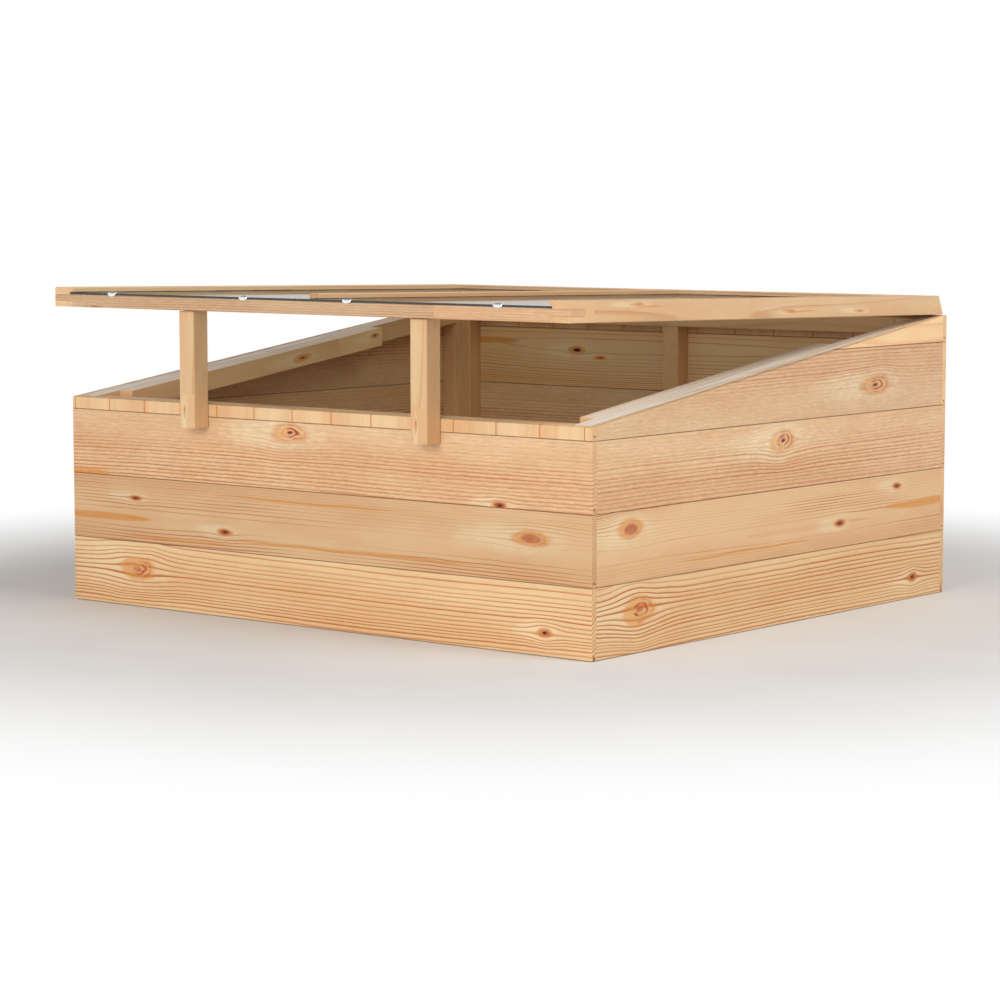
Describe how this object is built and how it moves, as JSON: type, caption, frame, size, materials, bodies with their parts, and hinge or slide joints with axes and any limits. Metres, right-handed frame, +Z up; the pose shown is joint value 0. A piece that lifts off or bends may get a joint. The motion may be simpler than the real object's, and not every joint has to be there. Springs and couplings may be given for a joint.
{
  "type": "cold frame",
  "caption": "Low wooden cold frame of tongue-and-groove boards with sloping sides and a hinged glazed lid propped open by sliding wooden props.",
  "frame": {"origin": "on the ground, under the middle of the plan of the whole object at rest, with the lid propped open", "axes": "+X along the front wall, to the right seen from the front; +Y towards the higher rear wall; +Z up"},
  "size_m": [1.334, 1.2766, 0.6419],
  "materials": {
    "wall_boards": "planed untreated spruce",
    "battens": "planed untreated spruce",
    "lid_frame": "planed untreated spruce",
    "props": "planed untreated spruce",
    "pane_glass": "clear polished glazing",
    "clip_metal": "bright plated",
    "hinge_steel": "bright zinc plated",
    "bolt_steel": "bright zinc plated"
  },
  "bodies": {
    "box": {"front_board_1": "wall_boards", "front_board_2": "wall_boards", "front_board_3": "wall_boards", "front_top_board": "wall_boards", "rear_board_1": "wall_boards", "rear_board_2": "wall_boards", "rear_board_3": "wall_boards", "rear_board_4": "wall_boards", "rear_top_board": "wall_boards", "left_board_1": "wall_boards", "left_board_2": "wall_boards", "left_board_3": "wall_boards", "left_board_4": "wall_boards", "right_board_1": "wall_boards", "right_board_2": "wall_boards", "right_board_3": "wall_boards", "right_board_4": "wall_boards", "left_top_board": "wall_boards", "right_top_board": "wall_boards", "left_sloping_batten": "battens", "right_sloping_batten": "battens", "left_inner_batten": "battens", "right_inner_batten": "battens", "front_top_batten": "battens", "rear_top_batten": "battens", "rear_middle_post": "battens", "left_front_side_post": "battens", "left_rear_side_post": "battens", "left_front_end_post": "battens", "left_rear_end_post": "battens", "right_front_side_post": "battens", "right_rear_side_post": "battens", "right_front_end_post": "battens", "right_rear_end_post": "battens", "left_prop_bolt": "bolt_steel", "right_prop_bolt": "bolt_steel", "left_hinge_fixed_leaf": "hinge_steel", "right_hinge_fixed_leaf": "hinge_steel"},
    "hinge_pins": {"left_hinge_pin": "hinge_steel", "right_hinge_pin": "hinge_steel"},
    "lid": {"lid_left_rail": "lid_frame", "lid_right_rail": "lid_frame", "lid_front_rail": "lid_frame", "lid_rear_rail": "lid_frame", "lid_middle_bar": "lid_frame", "lid_cover_strip": "lid_frame", "left_pane": "pane_glass", "right_pane": "pane_glass", "left_hinge_lid_leaf": "hinge_steel", "right_hinge_lid_leaf": "hinge_steel", "left_inner_pane_clip": "clip_metal", "left_outer_pane_clip": "clip_metal", "right_inner_pane_clip": "clip_metal", "right_outer_pane_clip": "clip_metal"},
    "left_prop": {"left_prop": "props"},
    "right_prop": {"right_prop": "props"},
    "left_wing_nut": {"left_wing_nut": "bolt_steel"},
    "right_wing_nut": {"right_wing_nut": "bolt_steel"}
  },
  "joints": [
    {"name": "lid_lower", "type": "hinge", "parent": "box", "child": "hinge_pins", "pos_m": [0, 0.6343, 0.58], "axis": [-1, 0, 0], "range_deg": [-8.63, 0]},
    {"name": "lid_raise", "type": "hinge", "parent": "hinge_pins", "child": "lid", "pos_m": [0, 0.6343, 0.58], "axis": [-1, 0, 0], "range_deg": [0, 100]},
    {"name": "left_prop_slide", "type": "slide", "parent": "box", "child": "left_prop", "axis": [0, 0, 1], "range_m": [-0.1915, 0]},
    {"name": "right_prop_slide", "type": "slide", "parent": "box", "child": "right_prop", "axis": [0, 0, 1], "range_m": [-0.1915, 0]},
    {"name": "left_wing_nut_turn", "type": "hinge", "parent": "box", "child": "left_wing_nut", "pos_m": [-0.298, -0.525, 0.386], "axis": [0, 1, 0], "continuous": true},
    {"name": "right_wing_nut_turn", "type": "hinge", "parent": "box", "child": "right_wing_nut", "pos_m": [0.298, -0.525, 0.386], "axis": [0, 1, 0], "continuous": true}
  ],
  "couplings": [
    {"joint": "left_prop_slide", "follows": "lid_lower", "m_per_rad": 1.266},
    {"joint": "right_prop_slide", "follows": "lid_lower", "m_per_rad": 1.266}
  ]
}
